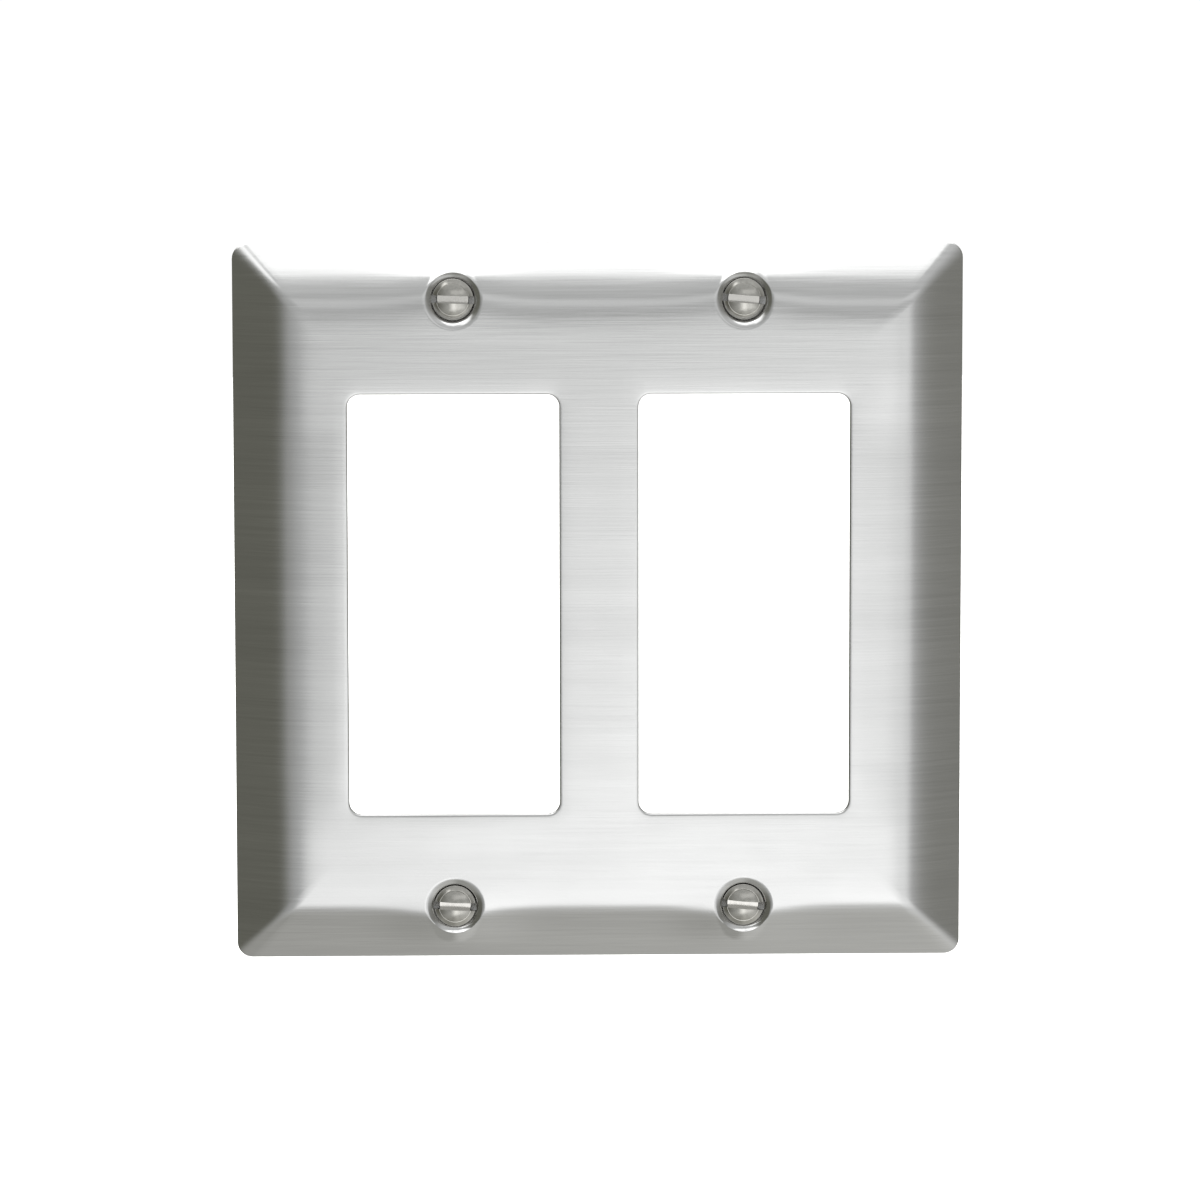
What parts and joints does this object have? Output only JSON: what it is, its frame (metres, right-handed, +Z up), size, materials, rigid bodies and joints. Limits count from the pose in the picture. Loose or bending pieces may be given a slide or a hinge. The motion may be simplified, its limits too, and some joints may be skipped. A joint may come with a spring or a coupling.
{
  "type": "wall plate cover",
  "caption": "Two-opening decorator wall plate of brushed stainless steel with sloped borders, countersunk dimples, slotted oval-head screws and soft retaining washers.",
  "frame": {"origin": "middle of the plate on the wall's plane, which its rim lies on: the row stands upright as it hangs on the wall", "axes": "+Z up the wall, -Y out of the wall towards the room (the face looks along -Y), +X to the right of someone facing the plate"},
  "size_m": [0.1158, 0.0142, 0.1142],
  "materials": {
    "brushed_stainless": "fine horizontal brushing, satin",
    "screw_steel": "turned and polished, with fine circular tool marks",
    "nylon": "natural nylon, slightly waxy"
  },
  "bodies": {
    "plate": {"plate": "brushed_stainless"},
    "retainer_upper_left": {"retainer_upper_left": "nylon"},
    "screw_upper_left": {"screw_upper_left": "screw_steel"},
    "retainer_upper_right": {"retainer_upper_right": "nylon"},
    "screw_upper_right": {"screw_upper_right": "screw_steel"},
    "retainer_lower_left": {"retainer_lower_left": "nylon"},
    "screw_lower_left": {"screw_lower_left": "screw_steel"},
    "retainer_lower_right": {"retainer_lower_right": "nylon"},
    "screw_lower_right": {"screw_lower_right": "screw_steel"}
  },
  "joints": [
    {"name": "turn_upper_left", "type": "hinge", "parent": "plate", "child": "retainer_upper_left", "pos_m": [-0.02302, 0, 0.04842], "axis": [0, -1, 0], "range_deg": [0, 3870]},
    {"name": "travel_upper_left", "type": "slide", "parent": "retainer_upper_left", "child": "screw_upper_left", "axis": [0, -1, 0], "range_m": [0, 0.00853]},
    {"name": "turn_upper_right", "type": "hinge", "parent": "plate", "child": "retainer_upper_right", "pos_m": [0.02302, 0, 0.04842], "axis": [0, -1, 0], "range_deg": [0, 3870]},
    {"name": "travel_upper_right", "type": "slide", "parent": "retainer_upper_right", "child": "screw_upper_right", "axis": [0, -1, 0], "range_m": [0, 0.00853]},
    {"name": "turn_lower_left", "type": "hinge", "parent": "plate", "child": "retainer_lower_left", "pos_m": [-0.02302, 0, -0.04842], "axis": [0, -1, 0], "range_deg": [0, 3870]},
    {"name": "travel_lower_left", "type": "slide", "parent": "retainer_lower_left", "child": "screw_lower_left", "axis": [0, -1, 0], "range_m": [0, 0.00853]},
    {"name": "turn_lower_right", "type": "hinge", "parent": "plate", "child": "retainer_lower_right", "pos_m": [0.02302, 0, -0.04842], "axis": [0, -1, 0], "range_deg": [0, 3870]},
    {"name": "travel_lower_right", "type": "slide", "parent": "retainer_lower_right", "child": "screw_lower_right", "axis": [0, -1, 0], "range_m": [0, 0.00853]}
  ],
  "couplings": [
    {"joint": "turn_upper_left", "follows": "travel_upper_left", "rad_per_m": 7915.8},
    {"joint": "turn_upper_right", "follows": "travel_upper_right", "rad_per_m": 7915.8},
    {"joint": "turn_lower_left", "follows": "travel_lower_left", "rad_per_m": 7915.8},
    {"joint": "turn_lower_right", "follows": "travel_lower_right", "rad_per_m": 7915.8}
  ]
}
